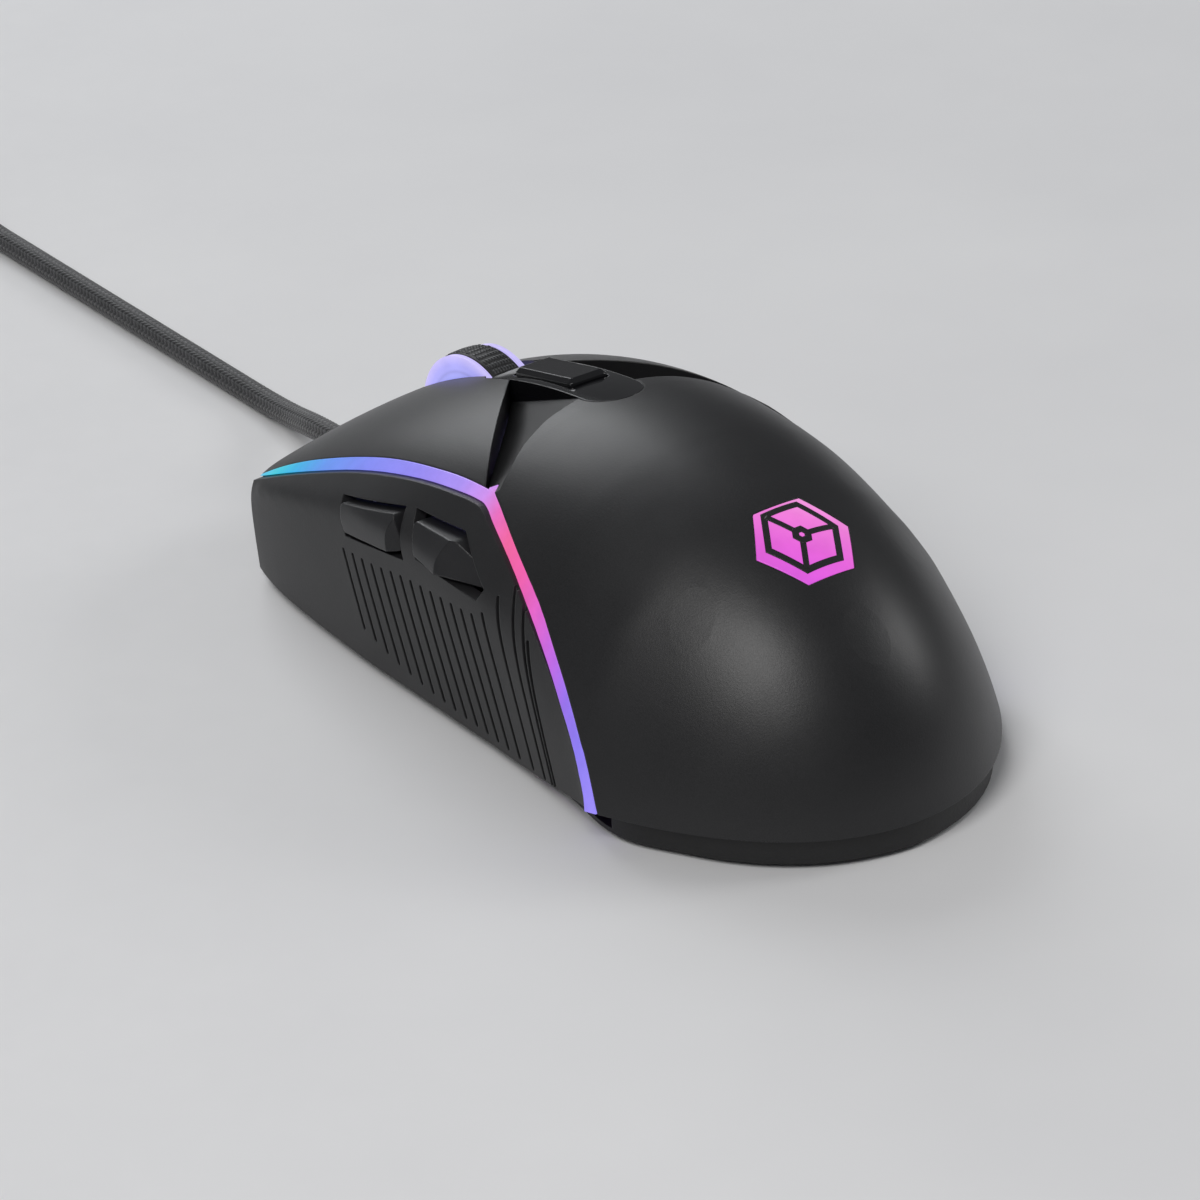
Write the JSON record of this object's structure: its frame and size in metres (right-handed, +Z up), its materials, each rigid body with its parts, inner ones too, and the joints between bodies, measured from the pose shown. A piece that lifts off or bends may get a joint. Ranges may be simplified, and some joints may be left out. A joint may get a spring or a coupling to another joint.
{
  "type": "computer mouse",
  "caption": "Corded gaming mouse with domed palm shell, two main buttons, lit scroll wheel, thumb buttons, light strips along both sides and a braided cable with a plug.",
  "frame": {"origin": "on the desk plane and the centreline, 0.9 mm in front of the middle of the length of the mouse body (the cable runs off along +Y)", "axes": "+Z up, +Y forward towards the cable, +X to the right hand side of the user"},
  "size_m": [0.0646, 0.3093, 0.0418],
  "materials": {
    "shell_black": "fine-textured matt black moulding",
    "panel_black": "matt black moulding with grip grooves",
    "base_black": "matt black moulding",
    "gloss_black": "polished black",
    "light_strip": "translucent light guide, lit from inside",
    "badge_lit": "translucent window, lit from inside",
    "wheel_lit": "translucent hub, lit from inside",
    "tyre_rubber": "black rubber with fine dot pattern",
    "glide_ptfe": "low-friction glide foot",
    "screw_steel": "zinc-plated steel",
    "pcb_green": "solder-masked board",
    "chip_black": "epoxy package",
    "lens_clear": "clear moulded lens",
    "led_white": "LED package",
    "switch_body": "switch housing",
    "switch_plunger": "switch plunger",
    "inner_plastic": "black acetal",
    "disc_plastic": "black encoder disc",
    "cable_braid": "braided sleeve",
    "cable_rubber": "soft black PVC",
    "wire_pvc": "thin insulated wires",
    "usb_steel": "nickel-plated shell",
    "usb_insulator": "connector insulator",
    "usb_gold": "gold-plated contacts",
    "connector_white": "nylon connector"
  },
  "bodies": {
    "housing": {"badge_lens": "badge_lit", "badge_light_pipe": "lens_clear", "base_shell": "base_black", "cable": "cable_braid", "cable_connector": "connector_white", "cable_wires": "wire_pvc", "case_screws": "screw_steel", "controller_chip": "chip_black", "cradle_holder": "inner_plastic", "dpi_board": "pcb_green", "dpi_switch_body": "switch_body", "encoder_sensor": "chip_black", "front_foot": "glide_ptfe", "left_light_guide": "light_strip", "left_side_panel": "panel_black", "left_switch_body": "switch_body", "main_pcb": "pcb_green", "nose_bridge": "gloss_black", "optical_sensor": "chip_black", "palm_shell": "shell_black", "pcb_screws": "screw_steel", "rear_foot": "glide_ptfe", "rgb_leds": "led_white", "right_light_guide": "light_strip", "right_side_panel": "panel_black", "right_switch_body": "switch_body", "sensor_foot_ring": "glide_ptfe", "sensor_lens": "lens_clear", "side_button_board": "pcb_green", "side_switch_front_body": "switch_body", "side_switch_rear_body": "switch_body", "spine_cover": "gloss_black", "strain_relief": "cable_rubber", "usb_contacts": "usb_gold", "usb_overmold": "cable_rubber", "usb_shell": "usb_steel", "usb_tongue": "usb_insulator", "wheel_switch_body": "switch_body"},
    "left_button": {"left_button": "shell_black"},
    "right_button": {"right_button": "shell_black"},
    "wheel_cradle": {"wheel_cradle": "inner_plastic"},
    "scroll_wheel": {"wheel_hub": "wheel_lit", "wheel_tyre": "tyre_rubber", "wheel_axle": "screw_steel", "encoder_disc": "disc_plastic"},
    "dpi_button": {"dpi_button": "gloss_black"},
    "side_button_front": {"side_button_front": "panel_black"},
    "side_button_rear": {"side_button_rear": "panel_black"},
    "left_switch_plunger": {"left_switch_plunger": "switch_plunger"},
    "right_switch_plunger": {"right_switch_plunger": "switch_plunger"},
    "wheel_switch_plunger": {"wheel_switch_plunger": "switch_plunger"},
    "dpi_switch_plunger": {"dpi_switch_plunger": "switch_plunger"},
    "side_switch_front_plunger": {"side_switch_front_plunger": "switch_plunger"},
    "side_switch_rear_plunger": {"side_switch_rear_plunger": "switch_plunger"}
  },
  "joints": [
    {"name": "left_button_press", "type": "hinge", "parent": "housing", "child": "left_button", "pos_m": [-0.013, 0.002, 0.033], "axis": [-1, 0, 0], "range_deg": [0, 0.85]},
    {"name": "right_button_press", "type": "hinge", "parent": "housing", "child": "right_button", "pos_m": [0.013, 0.002, 0.033], "axis": [-1, 0, 0], "range_deg": [0, 0.85]},
    {"name": "wheel_click", "type": "hinge", "parent": "housing", "child": "wheel_cradle", "pos_m": [0, 0.01, 0.021], "axis": [-1, 0, 0], "range_deg": [0, 0.8]},
    {"name": "wheel_scroll", "type": "hinge", "parent": "wheel_cradle", "child": "scroll_wheel", "pos_m": [0, 0.0326, 0.0236], "axis": [1, 0, 0], "continuous": true},
    {"name": "dpi_button_press", "type": "slide", "parent": "housing", "child": "dpi_button", "axis": [0, 0, -1], "range_m": [0, 0.0004]},
    {"name": "side_button_front_press", "type": "slide", "parent": "housing", "child": "side_button_front", "axis": [1, 0, 0], "range_m": [0, 0.0006]},
    {"name": "side_button_rear_press", "type": "slide", "parent": "housing", "child": "side_button_rear", "axis": [1, 0, 0], "range_m": [0, 0.0006]},
    {"name": "left_switch_travel", "type": "slide", "parent": "housing", "child": "left_switch_plunger", "axis": [0, 0, -1], "range_m": [0, 0.0006]},
    {"name": "right_switch_travel", "type": "slide", "parent": "housing", "child": "right_switch_plunger", "axis": [0, 0, -1], "range_m": [0, 0.0006]},
    {"name": "wheel_switch_travel", "type": "slide", "parent": "housing", "child": "wheel_switch_plunger", "axis": [0, 0, -1], "range_m": [0, 0.00055]},
    {"name": "dpi_switch_travel", "type": "slide", "parent": "housing", "child": "dpi_switch_plunger", "axis": [0, 0, -1], "range_m": [0, 0.0004]},
    {"name": "side_switch_front_travel", "type": "slide", "parent": "housing", "child": "side_switch_front_plunger", "axis": [1, 0, 0], "range_m": [0, 0.0006]},
    {"name": "side_switch_rear_travel", "type": "slide", "parent": "housing", "child": "side_switch_rear_plunger", "axis": [1, 0, 0], "range_m": [0, 0.0006]}
  ],
  "couplings": [
    {"joint": "left_switch_travel", "follows": "left_button_press", "m_per_rad": 0.039},
    {"joint": "right_switch_travel", "follows": "right_button_press", "m_per_rad": 0.039},
    {"joint": "wheel_switch_travel", "follows": "wheel_click", "m_per_rad": 0.0376},
    {"joint": "dpi_switch_travel", "follows": "dpi_button_press", "ratio": 1},
    {"joint": "side_switch_front_travel", "follows": "side_button_front_press", "ratio": 1},
    {"joint": "side_switch_rear_travel", "follows": "side_button_rear_press", "ratio": 1}
  ]
}
